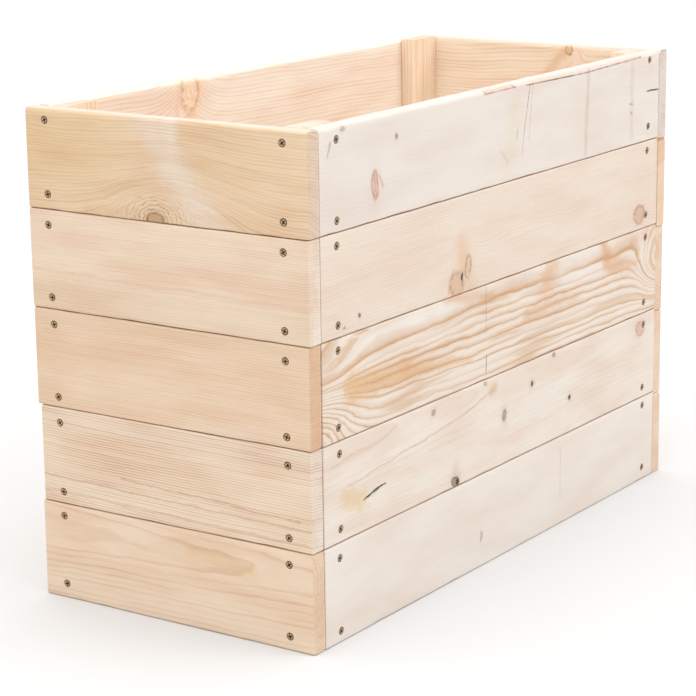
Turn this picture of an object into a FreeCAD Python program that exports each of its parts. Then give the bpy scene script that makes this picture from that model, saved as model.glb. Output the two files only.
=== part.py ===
"""Open-topped timber box: five rows of planed boards screwed to four corner battens.

X runs along the long side, Y along the short side and Z up.  The origin is on the
ground, in the middle of the box.  All sizes are in millimetres.  "Left" and "right"
are the ends at -X and +X, and "front" and "back" are the sides at -Y and +Y.
Row 1 is the bottom row.
"""
import FreeCAD, Part
import os

import Sketcher
from FreeCAD import Placement, Rotation, Vector

doc = FreeCAD.newDocument("slatted_box")

# ----------------------------------------------------------------------------------
# Driving dimensions
# ----------------------------------------------------------------------------------

DIMENSIONS = (
    ("box_length", 700, "outside length of the box, along X"),
    ("box_width", 328, "outside width of the box, along Y"),
    ("row_pitch", 98, "height of one row of boards"),
    ("row_gap", 0.4, "hairline gap under a board that stands on another"),
    ("board_thick", 18, "planed thickness of every board"),
    ("board_round", 1.6, "radius on the long edges of a board"),
    ("board_arris", 0.5, "chamfer round the sawn ends of a board"),
    ("butt_gap", 0.5, "gap between the end of a long board and the end board"),
    ("batten_wide", 48, "corner batten, along X"),
    ("batten_thick", 18, "corner batten and cleat, along Y"),
    ("batten_high", 490, "corner batten, the full height of the box"),
    ("batten_round", 1, "radius on the long edges of a batten"),
    ("long_screw_inset", 27, "long board's screws from the inner face of the end board"),
    ("screw_dia", 4, "shank of every screw"),
    ("head_dia", 8, "head of every screw"),
    ("head_sunk", 0.3, "depth of a screw head below the face of the timber"),
    ("tip_long", 6, "length of a screw's point"),
    ("wall_screw_long", 35, "length of the screws in the walls and the floor slats"),
    ("cleat_screw_long", 30, "length of the screws in the cleats"),
    ("recess_wide", 4.4, "cross recess in a screw head, tip to tip"),
    ("recess_arm", 1, "width of one arm of the cross recess"),
    ("recess_deep", 1.7, "depth of the cross recess"),
    ("drill_clear", 0.1, "gap all round a screw in its drilled hole"),
    ("cleat_high", 48, "height of a floor cleat"),
    ("cleat_lift", 5, "underside of a cleat above the ground"),
    ("cleat_screw_drop", 30, "cleat's screws below its top edge"),
    ("cleat_screw_inset", 60, "cleat's outer screws from its ends"),
    ("slat_count", 6, "number of floor slats"),
    ("slat_wide", 98, "width of a floor slat, along X"),
    ("slat_clear", 1, "room round a slat or a cleat at the boards and battens"),
    ("slat_screw_inset", 20, "slat's screws from its long edges"),
    ("slat_screw_shift", 7, "outer slat's inner screws towards the end board"),
    ("overcut", 1, "how far a cutting shape runs past what it cuts"),
    ("tip_dia", 0.4, "end of a screw's point"),
)

sheet = doc.addObject("Spreadsheet::Sheet", "Dimensions")
for line, (alias, number, meaning) in enumerate(DIMENSIONS, start=1):
    sheet.set(f"A{line}", meaning)
    sheet.set(f"B{line}", str(number))
    sheet.setAlias(f"B{line}", alias)
doc.recompute()

ALIASES = {alias for alias, _, _ in DIMENSIONS}
ROWS = (1, 2, 3, 4, 5)

# ----------------------------------------------------------------------------------
# The small unevenness of this hand-built box, row 1 first
# ----------------------------------------------------------------------------------

# How far an end board stops short of the full width, at the front and at the back.
SHORT_OF_WIDTH = ((0.5, 1.5), (1, 4), (1, 0.5), (0, 0), (0, 0))

# How far each level line of an end sags below its row pitch, from the ground up.
LEFT_END_SAG = (0, 0, 0, 0, 0, 0)
RIGHT_END_SAG = (0, 4, 4, 4, 2, 0)

# Screws below the top edge of their board: upper and lower screw at the board's left,
# then upper and lower screw at its right, seen from outside the box.
END_SCREW_DROPS = (
    (13, 83.5, 14, 84.5),
    (15.5, 86, 16, 86),
    (15, 87.5, 15.5, 87),
    (15, 86, 13, 85.5),
    (11.5, 83, 12, 83.5),
)
LONG_SCREW_DROPS = (
    (15, 87, 10, 84),
    (12, 85, 13, 86.5),
    (11.5, 84.5, 11, 85),
    (12, 86, 11, 83.5),
    (13, 87, 8.5, 82),
)
# How far the same screws have drifted towards the middle of their board.
END_SCREW_DRIFTS = (
    (0.5, 0.5, 1, 1.5),
    (0, 1, 0.5, 0.5),
    (-2, -0.5, 1, 1),
    (-4, -3, 1, 1),
    (-3.5, -3, 0, 0),
)
LONG_SCREW_DRIFTS = (
    (-1.5, -1, -0.5, -2),
    (0, 0.5, 0, 0.5),
    (0, -1, -1, 0.5),
    (0, 0.5, -1.5, -1),
    (1.5, 1, -4, -3),
)


# ----------------------------------------------------------------------------------
# Building blocks
# ----------------------------------------------------------------------------------


def size(alias):
    """The number in one cell of the sheet."""
    return float(sheet.get(alias))


def cells(expression):
    """An expression with each alias in it pointed at the sheet."""
    words = str(expression).split()
    return " ".join(f"Dimensions.{word}" if word in ALIASES else word for word in words)


def place(item, x="0", y="0", z="0", turn=0):
    """Stands an object at a point given by expressions, turned about Z in degrees."""
    item.Placement = Placement(Vector(0, 0, 0), Rotation(Vector(0, 0, 1), turn))
    for axis, expression in (("x", x), ("y", y), ("z", z)):
        item.setExpression(f"Placement.Base.{axis}", cells(expression))


def new_sketch(body, name, plane, offset="0"):
    """An empty sketch on one of the body's origin planes, moved along its normal."""
    sketch = body.newObject("Sketcher::SketchObject", f"{body.Label}_{name}")
    support = next(item for item in body.Origin.OriginFeatures if item.Role == plane)
    sketch.AttachmentSupport = [(support, "")]
    sketch.MapMode = "FlatFace"
    sketch.setExpression("AttachmentOffset.Base.z", cells(offset))
    return sketch


def pin_down(sketch, rule, first, second, expression):
    """A signed distance between two points of a sketch, bound to an expression."""
    index = sketch.addConstraint(Sketcher.Constraint(rule, *first, *second, 1.0))
    sketch.setExpression(f"Constraints[{index}]", cells(expression))


def add_rectangle(sketch, left, bottom, right, top):
    """A rectangle whose four sides stand at the given expressions."""
    start = sketch.GeometryCount
    corners = (Vector(1, 1), Vector(2, 1), Vector(2, 2), Vector(1, 2))
    for side in range(4):
        sketch.addGeometry(Part.LineSegment(corners[side], corners[(side + 1) % 4]))
    for side in range(4):
        following = start + (side + 1) % 4
        sketch.addConstraint(Sketcher.Constraint("Coincident", start + side, 2, following, 1))
    for side, rule in enumerate(("Horizontal", "Vertical", "Horizontal", "Vertical")):
        sketch.addConstraint(Sketcher.Constraint(rule, start + side))
    origin = (-1, 1)
    pin_down(sketch, "DistanceX", origin, (start, 1), left)
    pin_down(sketch, "DistanceY", origin, (start, 1), bottom)
    pin_down(sketch, "DistanceX", origin, (start + 1, 2), right)
    pin_down(sketch, "DistanceY", origin, (start + 1, 2), top)


def add_circles(sketch, spots, diameter):
    """Circles of one diameter, each centred at a pair of expressions."""
    for across, up in spots:
        index = sketch.addGeometry(Part.Circle(Vector(1, 1), Vector(0, 0, 1), 1))
        pin_down(sketch, "DistanceX", (-1, 1), (index, 3), across)
        pin_down(sketch, "DistanceY", (-1, 1), (index, 3), up)
        rule = sketch.addConstraint(Sketcher.Constraint("Diameter", index, 2.0))
        sketch.setExpression(f"Constraints[{rule}]", cells(diameter))


def circle_centres(sketch):
    """Where a sketch's circles ended up, as points on the sketch plane."""
    return [circle.Center for circle in sketch.Geometry]


def pad(body, sketch, length, other_length=None):
    """Extrudes a sketch along its normal, and the other way too if asked."""
    feature = body.newObject("PartDesign::Pad", f"{body.Label}_pad")
    feature.Profile = sketch
    feature.setExpression("Length", cells(length))
    if other_length is not None:
        feature.SideType = "Two sides"
        feature.setExpression("Length2", cells(other_length))
    doc.recompute()
    return feature


def dress_edges(body, kind, amount, is_wanted):
    """Rounds (Fillet) or bevels (Chamfer) the edges of the body that are wanted."""
    base = body.Tip
    names = [f"Edge{n}" for n, edge in enumerate(base.Shape.Edges, start=1) if is_wanted(edge)]
    feature = body.newObject(f"PartDesign::{kind}", f"{body.Label}_{kind}")
    feature.Base = (base, names)
    feature.setExpression("Radius" if kind == "Fillet" else "Size", cells(amount))
    doc.recompute()
    return feature


def runs_along(axis):
    """Picks the straight edges that are parallel to an axis."""

    def is_wanted(edge):
        span = edge.Vertexes[-1].Point - edge.Vertexes[0].Point
        return span.Length > 5 and abs(span.normalize().dot(axis)) > 0.999

    return is_wanted


def at_sawn_ends(body):
    """Picks the edges round the two ends of a piece that lies along X."""
    box = body.Tip.Shape.BoundBox

    def is_wanted(edge):
        reach = edge.BoundBox
        return reach.XLength < 0.01 and min(reach.XMin - box.XMin, box.XMax - reach.XMax) < 0.01

    return is_wanted


def cut_away(body, feature, volume_before):
    """Makes sure that a hole or pocket did remove timber."""
    doc.recompute()
    if body.Shape.Volume > volume_before - 1:
        raise RuntimeError(f"{feature.Label} removed nothing")


def countersink_holes(body, sketch):
    """Screw holes right through the piece, sunk so that the heads sit below its face."""
    before = body.Shape.Volume
    doc.recompute()
    hole = body.newObject("PartDesign::Hole", f"{body.Label}_screw_holes")
    hole.Profile = sketch
    doc.recompute()
    hole.ThreadType = "None"
    hole.DepthType = "ThroughAll"
    hole.setExpression("Diameter", cells("screw_dia + 2 * drill_clear"))
    hole.HoleCutType = "Countersink"
    hole.HoleCutCustomValues = True
    hole.HoleCutCountersinkAngle = 90
    hole.setExpression("HoleCutDiameter", cells("head_dia + 2 * head_sunk + 2 * drill_clear"))
    cut_away(body, hole, before)


def pilot_holes(body, name, plane, spots, depth, offset="0", flip=False):
    """Blind round holes for the screws that another piece sends into this one."""
    before = body.Shape.Volume
    sketch = new_sketch(body, f"{name}_spots", plane, offset)
    add_circles(sketch, spots, "screw_dia + 2 * drill_clear")
    doc.recompute()
    pocket = body.newObject("PartDesign::Pocket", f"{body.Label}_{name}")
    pocket.Profile = sketch
    pocket.Reversed = flip
    pocket.setExpression("Length", cells(depth))
    cut_away(body, pocket, before)


# ----------------------------------------------------------------------------------
# Boards of the four walls.  In a board's own frame its outer face is at Y = 0, its
# length lies along X and its lower edge is at Z = 0.
# ----------------------------------------------------------------------------------


def plank(label, left, right, bottom, top, thick, rounding, spots):
    """A straight piece of timber with eased edges and countersunk screw holes."""
    body = doc.addObject("PartDesign::Body", label)
    body.Label = label
    section = new_sketch(body, "section", "YZ_Plane")
    add_rectangle(section, "0", bottom, thick, top)
    pad(body, section, right, left)
    dress_edges(body, "Fillet", rounding, runs_along(Vector(1, 0, 0)))
    dress_edges(body, "Chamfer", "board_arris", at_sawn_ends(body))
    screws = new_sketch(body, "screw_spots", "XZ_Plane")
    add_circles(screws, spots, "screw_dia")
    countersink_holes(body, screws)
    return body, screws


def wall_spots(drops, drifts, top, reach):
    """The four screws of a board: expressions for X and Z in the board's own frame."""
    spots = []
    for corner, (drop, drift) in enumerate(zip(drops, drifts)):
        side = "-1" if corner < 2 else "1"
        spots.append((f"{side} * ( {reach} - {drift} )", f"{top} - {drop}"))
    return spots


def board_top(row, sag):
    """Height of a board from the level line under it to the one over it."""
    return f"( row_pitch - {sag[row]} + {sag[row - 1]} )"


def level_line(row, sag):
    """Height of the level line under a row, above the ground."""
    return f"( {row - 1} * row_pitch - {sag[row - 1]} )"


def under_edge(row):
    return "0" if row == 1 else "row_gap"


def end_board(label, row, sag, at_right):
    """An end board covers the ends of the long boards, to the full width of the box."""
    at_front, at_back = SHORT_OF_WIDTH[row - 1]
    left, right = (at_front, at_back) if at_right else (at_back, at_front)
    top = board_top(row, sag)
    reach = "box_width / 2 - board_thick - batten_thick / 2"
    body, screws = plank(
        label,
        f"box_width / 2 - {left}",
        f"box_width / 2 - {right}",
        under_edge(row),
        top,
        "board_thick",
        "board_round",
        wall_spots(END_SCREW_DROPS[row - 1], END_SCREW_DRIFTS[row - 1], top, reach),
    )
    side, turn = ("1", 90) if at_right else ("-1", -90)
    place(body, x=f"{side} * box_length / 2", z=level_line(row, sag), turn=turn)
    return body, screws


def long_board(label, row, at_back):
    """A long board fits between the two end boards."""
    level = LEFT_END_SAG
    top = board_top(row, level)
    half = "box_length / 2 - board_thick - butt_gap"
    reach = "box_length / 2 - board_thick - long_screw_inset"
    spots = wall_spots(LONG_SCREW_DROPS[row - 1], LONG_SCREW_DRIFTS[row - 1], top, reach)
    body, screws = plank(
        label, half, half, under_edge(row), top, "board_thick", "board_round", spots
    )
    side, turn = ("1", 180) if at_back else ("-1", 0)
    place(body, y=f"{side} * box_width / 2", z=level_line(row, level), turn=turn)
    return body, screws


# ----------------------------------------------------------------------------------
# Corner battens.  In a batten's own frame the long board touches it at Y = 0 and the
# end board at X = 0, and it stands on Z = 0.
# ----------------------------------------------------------------------------------


def corner_batten(label, at_right, at_back):
    """A batten lies flat on the long boards, and the end boards screw into its edge."""
    mirrored = at_right != at_back
    hand = "-1" if mirrored else "1"
    body = doc.addObject("PartDesign::Body", label)
    body.Label = label
    section = new_sketch(body, "section", "XY_Plane")
    add_rectangle(section, "0", "0", f"{hand} * batten_wide", "batten_thick")
    pad(body, section, "batten_high")
    dress_edges(body, "Fillet", "batten_round", runs_along(Vector(0, 0, 1)))

    # A board's left end, seen from outside, has its corners 0 and 1, its right end 2 and 3.
    sag = RIGHT_END_SAG if at_right else LEFT_END_SAG
    edge_corners, face_corners = ((0, 1), (2, 3)) if mirrored else ((2, 3), (0, 1))
    edge_spots = []
    face_spots = []
    for row in ROWS:
        for corner in edge_corners:
            drop = END_SCREW_DROPS[row - 1][corner]
            height = f"{level_line(row, sag)} + {board_top(row, sag)} - {drop}"
            drift = END_SCREW_DRIFTS[row - 1][corner]
            edge_spots.append((f"batten_thick / 2 + {drift}", height))
        for corner in face_corners:
            drop = LONG_SCREW_DROPS[row - 1][corner]
            drift = LONG_SCREW_DRIFTS[row - 1][corner]
            across = f"{hand} * ( long_screw_inset + {drift} )"
            face_spots.append((across, f"{row} * row_pitch - {drop}"))
    depth = "wall_screw_long + head_sunk - board_thick + drill_clear"
    pilot_holes(body, "edge_holes", "YZ_Plane", edge_spots, depth, flip=not mirrored)
    pilot_holes(body, "face_holes", "XZ_Plane", face_spots, depth)
    side_x = "1" if at_right else "-1"
    side_y = "1" if at_back else "-1"
    place(
        body,
        x=f"{side_x} * ( box_length / 2 - board_thick )",
        y=f"{side_y} * ( box_width / 2 - board_thick )",
        turn=180 if at_back else 0,
    )
    return body


# ----------------------------------------------------------------------------------
# Floor: two cleats on the long boards, and slats across them
# ----------------------------------------------------------------------------------

CLEAT_SCREWS = 4
SLAT_GAPS = "( box_length - 2 * board_thick - slat_count * slat_wide )"
SLAT_PITCH = f"( {SLAT_GAPS} / ( slat_count + 1 ) + slat_wide )"
SLAT_LEVEL = "cleat_lift + cleat_high"
CLEAT_HALF = "( box_length / 2 - board_thick - batten_wide - slat_clear )"


def slat_centre(number):
    """X of a slat's middle: the gaps between the slats and at the end boards are equal."""
    return f"( ( {number} - ( slat_count + 1 ) / 2 ) * {SLAT_PITCH} )"


def slat_screw_offsets(number):
    """Where a slat's screws stand from its middle, along X."""
    outer = "( slat_wide / 2 - slat_screw_inset )"
    middle = "( slat_screw_inset / 2 )"
    if number == 1:
        return (outer, f"slat_screw_shift - {middle}")
    if number == size("slat_count"):
        return (f"-1 * {outer}", f"{middle} - slat_screw_shift")
    return (outer, f"-1 * {outer}")


def cleat_screw_spots():
    """Cleat screws, evenly spread: X and height from the cleat's lower edge."""
    reach = f"( {CLEAT_HALF} - cleat_screw_inset )"
    height = "cleat_high - cleat_screw_drop"
    fractions = [2 * number / (CLEAT_SCREWS - 1) - 1 for number in range(CLEAT_SCREWS)]
    return [(f"{fraction:.4f} * {reach}", height) for fraction in fractions]


def floor_cleat(label, at_back):
    """A cleat on edge against the inside of the bottom long board."""
    body, screws = plank(
        label,
        CLEAT_HALF,
        CLEAT_HALF,
        "0",
        "cleat_high",
        "batten_thick",
        "batten_round",
        cleat_screw_spots(),
    )
    hand = 1 if at_back else -1
    spots = []
    for number in range(1, int(size("slat_count")) + 1):
        for offset in slat_screw_offsets(number):
            across = f"{hand} * ( {slat_centre(number)} + {offset} )"
            spots.append((across, "batten_thick / 2"))
    depth = "wall_screw_long + head_sunk - board_thick + drill_clear"
    pilot_holes(body, "slat_holes", "XY_Plane", spots, depth, offset="cleat_high")
    side = "1" if at_back else "-1"
    place(
        body,
        y=f"{side} * ( box_width / 2 - board_thick - batten_thick )",
        z="cleat_lift",
        turn=0 if at_back else 180,
    )
    return body, screws


def take_cleat_screws(body):
    """Blind holes in the inner face of a bottom long board for the cleat's screws."""
    spots = [(across, f"{up} + cleat_lift") for across, up in cleat_screw_spots()]
    depth = "cleat_screw_long + head_sunk - batten_thick + drill_clear"
    offset = "-1 * board_thick"
    pilot_holes(body, "cleat_holes", "XZ_Plane", spots, depth, offset=offset, flip=True)


def floor_slat(label, number):
    """A slat across the two cleats.  The outer slats are notched round the battens."""
    body = doc.addObject("PartDesign::Body", label)
    body.Label = label
    outline = new_sketch(body, "outline", "XY_Plane")
    half_wide = "slat_wide / 2"
    half_long = "( box_width / 2 - board_thick - slat_clear )"
    add_rectangle(outline, f"-1 * {half_wide}", f"-1 * {half_long}", half_wide, half_long)
    pad(body, outline, "board_thick")
    dress_edges(body, "Fillet", "board_round", runs_along(Vector(0, 1, 0)))
    last = int(size("slat_count"))
    if number in (1, last):
        side = "-1" if number == 1 else "1"
        notch_from = f"{side} * {CLEAT_HALF} - {slat_centre(number)}"
        notch_to = f"{side} * ( slat_wide / 2 + overcut )"
        inner = "( box_width / 2 - board_thick - batten_thick - slat_clear )"
        outer = "( box_width / 2 - board_thick )"
        before = body.Shape.Volume
        notches = new_sketch(body, "notches", "XY_Plane")
        add_rectangle(notches, notch_from, inner, notch_to, outer)
        add_rectangle(notches, notch_from, f"-1 * {outer}", notch_to, f"-1 * {inner}")
        doc.recompute()
        pocket = body.newObject("PartDesign::Pocket", f"{label}_notched")
        pocket.Profile = notches
        pocket.Type = "ThroughAll"
        pocket.Reversed = True
        cut_away(body, pocket, before)
    screws = new_sketch(body, "screw_spots", "XY_Plane", "board_thick")
    across = "( box_width / 2 - board_thick - batten_thick / 2 )"
    spots = []
    for offset in slat_screw_offsets(number):
        spots.append((offset, f"-1 * {across}"))
        spots.append((offset, across))
    add_circles(screws, spots, "screw_dia")
    countersink_holes(body, screws)
    place(body, x=slat_centre(number), z=SLAT_LEVEL)
    return body, screws


# ----------------------------------------------------------------------------------
# Screws.  A pattern screw hangs below its origin, head up; the groups are copies of it.
# ----------------------------------------------------------------------------------


def pattern_screw(name, length):
    """A countersunk wood screw with a cross recess, its head's top at Z = 0."""
    head_deep = "( head_dia - screw_dia ) / 2"
    head = doc.addObject("Part::Cone", f"{name}_head")
    head.setExpression("Radius1", cells("screw_dia / 2"))
    head.setExpression("Radius2", cells("head_dia / 2"))
    head.setExpression("Height", cells(head_deep))
    head.setExpression("Placement.Base.z", cells(f"-1 * {head_deep}"))
    shank = doc.addObject("Part::Cylinder", f"{name}_shank")
    shank.setExpression("Radius", cells("screw_dia / 2"))
    shank.setExpression("Height", cells(f"{length} - tip_long - {head_deep}"))
    shank.setExpression("Placement.Base.z", cells(f"tip_long - {length}"))
    tip = doc.addObject("Part::Cone", f"{name}_tip")
    tip.setExpression("Radius1", cells("tip_dia / 2"))
    tip.setExpression("Radius2", cells("screw_dia / 2"))
    tip.setExpression("Height", cells("tip_long"))
    tip.setExpression("Placement.Base.z", cells(f"-1 * {length}"))
    solid = doc.addObject("Part::MultiFuse", f"{name}_solid")
    solid.Shapes = [head, shank, tip]
    arms = []
    for number, (along_x, along_y) in enumerate(
        (("recess_wide", "recess_arm"), ("recess_arm", "recess_wide"))
    ):
        arm = doc.addObject("Part::Box", f"{name}_arm_{number}")
        arm.setExpression("Length", cells(along_x))
        arm.setExpression("Width", cells(along_y))
        arm.setExpression("Height", cells("recess_deep + overcut"))
        arm.setExpression("Placement.Base.x", cells(f"-1 * {along_x} / 2"))
        arm.setExpression("Placement.Base.y", cells(f"-1 * {along_y} / 2"))
        arm.setExpression("Placement.Base.z", cells("-1 * recess_deep"))
        arms.append(arm)
    cross = doc.addObject("Part::MultiFuse", f"{name}_cross")
    cross.Shapes = arms
    screw = doc.addObject("Part::Cut", name)
    screw.Base = solid
    screw.Tool = cross
    doc.recompute()
    return screw


def screws_in(piece):
    """Where a piece's screws stand: the point on its face and the way out of the face."""
    body, sketch = piece
    sketch_frame = body.Placement * sketch.Placement
    way_out = sketch_frame.Rotation.multVec(Vector(0, 0, 1))
    return [(sketch_frame.multVec(centre), way_out) for centre in circle_centres(sketch)]


GOLDEN_TURN = 137.5


def screw_group(label, pattern, pieces):
    """All the screws of some pieces, as one node of separate solids."""
    screws = []
    for piece in pieces:
        for point, way_out in screws_in(piece):
            spin = Rotation(Vector(0, 0, 1), GOLDEN_TURN * len(screws))
            facing = Rotation(Vector(0, 0, 1), way_out)
            screw = pattern.Shape.copy()
            screw.Placement = Placement(point - way_out * size("head_sunk"), facing * spin)
            screws.append(screw)
    group = doc.addObject("Part::Feature", label)
    group.Label = label
    group.Shape = Part.makeCompound(screws)
    group.Placement = Placement()
    return group


# ----------------------------------------------------------------------------------
# The box
# ----------------------------------------------------------------------------------

left_end = [end_board(f"left_end_board_row_{row}", row, LEFT_END_SAG, False) for row in ROWS]
right_end = [end_board(f"right_end_board_row_{row}", row, RIGHT_END_SAG, True) for row in ROWS]
front = [long_board(f"front_board_row_{row}", row, False) for row in ROWS]
back = [long_board(f"back_board_row_{row}", row, True) for row in ROWS]
for bottom_board, _ in (front[0], back[0]):
    take_cleat_screws(bottom_board)

battens = [
    corner_batten("corner_batten_front_left", False, False),
    corner_batten("corner_batten_front_right", True, False),
    corner_batten("corner_batten_back_left", False, True),
    corner_batten("corner_batten_back_right", True, True),
]
cleats = [floor_cleat("floor_cleat_front", False), floor_cleat("floor_cleat_back", True)]
slat_numbers = range(1, int(size("slat_count")) + 1)
slats = [floor_slat(f"floor_slat_{number}", number) for number in slat_numbers]
doc.recompute()

wall_screw = pattern_screw("wall_screw", "wall_screw_long")
cleat_screw = pattern_screw("cleat_screw", "cleat_screw_long")
screw_groups = [
    screw_group("screws_left_end", wall_screw, left_end),
    screw_group("screws_right_end", wall_screw, right_end),
    screw_group("screws_front", wall_screw, front),
    screw_group("screws_back", wall_screw, back),
    screw_group("screws_floor_slats", wall_screw, slats),
    screw_group("screws_cleats", cleat_screw, cleats),
]
doc.recompute()

sub_parts = [body for body, _ in left_end + right_end + front + back + cleats + slats]
sub_parts += battens + screw_groups

# ----------------------------------------------------------------------------------
# Checks and STEP files
# ----------------------------------------------------------------------------------

for item in doc.Objects:
    if "Invalid" in item.State or "Error" in item.State:
        raise RuntimeError(f"{item.Label} failed: {item.State}")
for item in sub_parts:
    if item.Shape.isNull() or not item.Shape.isValid() or not item.Shape.Solids:
        raise RuntimeError(f"{item.Label} has no sound shape")

os.makedirs("parts", exist_ok=True)
for item in sub_parts:
    item.Shape.exportStep(f"parts/{item.Label}.step")
print(len(sub_parts), "nodes,", sum(len(item.Shape.Solids) for item in sub_parts), "solids")
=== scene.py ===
"""Looks of an open-topped timber box: planed pine boards, corner battens, a slatted floor
and countersunk screws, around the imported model.  Metres, in the frame of the model.
Grain, knots and marks are given in millimetres on the board that has them.
"""
import math
import random
from dataclasses import dataclass, replace

import bmesh
import bpy
from mathutils import Matrix, Vector, noise


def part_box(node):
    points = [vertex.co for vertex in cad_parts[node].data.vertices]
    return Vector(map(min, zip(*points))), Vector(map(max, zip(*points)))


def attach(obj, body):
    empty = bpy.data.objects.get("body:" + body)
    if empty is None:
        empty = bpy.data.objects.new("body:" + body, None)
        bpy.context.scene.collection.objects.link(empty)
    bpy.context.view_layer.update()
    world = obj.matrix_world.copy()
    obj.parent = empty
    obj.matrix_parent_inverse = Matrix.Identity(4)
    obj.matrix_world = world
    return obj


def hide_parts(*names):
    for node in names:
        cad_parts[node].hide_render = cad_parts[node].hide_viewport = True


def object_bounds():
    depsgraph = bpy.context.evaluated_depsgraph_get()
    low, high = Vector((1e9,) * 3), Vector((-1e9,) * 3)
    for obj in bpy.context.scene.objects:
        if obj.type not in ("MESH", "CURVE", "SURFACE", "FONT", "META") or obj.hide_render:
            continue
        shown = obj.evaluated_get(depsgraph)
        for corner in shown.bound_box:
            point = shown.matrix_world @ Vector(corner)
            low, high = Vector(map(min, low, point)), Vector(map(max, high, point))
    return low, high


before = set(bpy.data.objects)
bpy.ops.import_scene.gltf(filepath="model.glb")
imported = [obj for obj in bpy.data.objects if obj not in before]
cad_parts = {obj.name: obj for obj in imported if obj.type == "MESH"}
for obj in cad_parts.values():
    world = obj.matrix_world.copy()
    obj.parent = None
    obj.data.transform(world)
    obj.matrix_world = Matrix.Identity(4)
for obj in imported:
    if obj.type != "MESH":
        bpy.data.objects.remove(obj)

CAD_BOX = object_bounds()
MM = 0.001
BOARD_HIGH = 98.0
BOARD_THICK = 18.0


# ------------------------------------------------------------------------------------
# Node graphs, written as ordinary arithmetic
# ------------------------------------------------------------------------------------


def linear(red, green, blue):
    """A linear colour from the usual 0 to 255 numbers."""
    parts = [part / 255 for part in (red, green, blue)]
    return tuple(p / 12.92 if p <= 0.04045 else ((p + 0.055) / 1.055) ** 2.4 for p in parts)


class Graph:
    """The nodes of one material.  An input is a number, a tuple, a socket or a Field."""

    def __init__(self, name):
        self.material = bpy.data.materials.new(name)
        self.material.use_nodes = True
        self.tree = self.material.node_tree
        self.tree.nodes.clear()

    def feed(self, socket, value):
        if isinstance(value, Field):
            value = value.socket
        if isinstance(value, bpy.types.NodeSocket):
            self.tree.links.new(value, socket)
        elif isinstance(value, tuple) and socket.type == "RGBA":
            socket.default_value = (*value, 1.0)
        else:
            socket.default_value = value

    def add(self, kind, inputs=(), **settings):
        """A node with its settings, its inputs given as (name or number, value) pairs."""
        node = self.tree.nodes.new(kind)
        for name, value in settings.items():
            setattr(node, name, value)
        for name, value in inputs:
            self.feed(node.inputs[name], value)
        return node

    def maths(self, operation, *values, clamp=False):
        node = self.add("ShaderNodeMath", enumerate(values), operation=operation, use_clamp=clamp)
        return Field(self, node.outputs[0])

    def vector(self, operation, *values):
        return self.add("ShaderNodeVectorMath", enumerate(values), operation=operation)

    def point(self, x, y, z=0.0):
        return self.add("ShaderNodeCombineXYZ", enumerate((x, y, z))).outputs[0]

    def blend(self, amount, under, over, way="MIX"):
        """One colour over another.  The amount runs from 0 to 1."""
        node = self.add("ShaderNodeMix", data_type="RGBA", blend_type=way)
        for number, value in ((0, amount), (6, under), (7, over)):
            self.feed(node.inputs[number], value)
        return node.outputs[2]

    def grey(self, level):
        return self.add("ShaderNodeCombineColor", enumerate((level, level, level))).outputs[0]

    def surface(self, colour, roughness, normal=None, metallic=0.0, specular=0.3):
        """Ends the material with one plain shader, and gives the material."""
        shader = self.add("ShaderNodeBsdfPrincipled")
        self.feed(shader.inputs["Base Color"], colour)
        self.feed(shader.inputs["Roughness"], roughness)
        if normal is not None:
            self.feed(shader.inputs["Normal"], normal)
        shader.inputs["Metallic"].default_value = metallic
        shader.inputs["Specular IOR Level"].default_value = specular
        output = self.add("ShaderNodeOutputMaterial")
        self.feed(output.inputs[0], shader.outputs[0])
        return self.material

    def rise(self, value, start, stop, low=0.0, high=1.0):
        """Smoothly from low to high while the value goes from start to stop."""
        pairs = ((0, value), (1, start), (2, stop), (3, low), (4, high))
        node = self.add("ShaderNodeMapRange", pairs, interpolation_type="SMOOTHSTEP")
        return Field(self, node.outputs[0])

    def profile(self, value, stops):
        """A curve through (place, level) stops, for values from 0 to 1."""
        node = self.add("ShaderNodeValToRGB", ((0, value),))
        ramp = node.color_ramp
        ramp.interpolation = "EASE"
        for number, (place, level) in enumerate(stops):
            stop = ramp.elements[number] if number < 2 else ramp.elements.new(place)
            stop.position = place
            stop.color = (level, level, level, 1)
        return Field(self, node.outputs[0])

    def cloud(self, where, detail=2.0, rough=0.5):
        """Noise from 0 to 1, with features about one unit across."""
        pairs = (("Vector", where), ("Scale", 1.0), ("Detail", detail), ("Roughness", rough))
        return self.add("ShaderNodeTexNoise", pairs)


class Field:
    """A number that varies over a surface."""

    def __init__(self, graph, socket):
        self.graph = graph
        self.socket = socket

    def __add__(self, other):
        return self.graph.maths("ADD", self, other)

    def __sub__(self, other):
        return self.graph.maths("SUBTRACT", self, other)

    def __rsub__(self, other):
        return self.graph.maths("SUBTRACT", other, self)

    def __mul__(self, other):
        return self.graph.maths("MULTIPLY", self, other)

    def __truediv__(self, other):
        return self.graph.maths("DIVIDE", self, other)

    __radd__ = __add__
    __rmul__ = __mul__

    def root(self):
        return self.graph.maths("SQRT", self)

    def size(self):
        return self.graph.maths("ABSOLUTE", self)

    def part(self):
        """What is left after the whole number is taken off."""
        return self.graph.maths("FRACT", self)

    def bell(self):
        """1 where the value is 0, falling away on both sides."""
        return self.graph.maths("EXPONENT", self * self * -1.0)

    def limited(self):
        return self.graph.maths("ADD", self, 0.0, clamp=True)


# ------------------------------------------------------------------------------------
# What a piece of timber looks like
# ------------------------------------------------------------------------------------

WALL_LIGHT = 1.36


def seen(red, green, blue):
    """The colour of wood that looks like this in the studio light."""
    return tuple(part / WALL_LIGHT for part in linear(red, green, blue))


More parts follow.
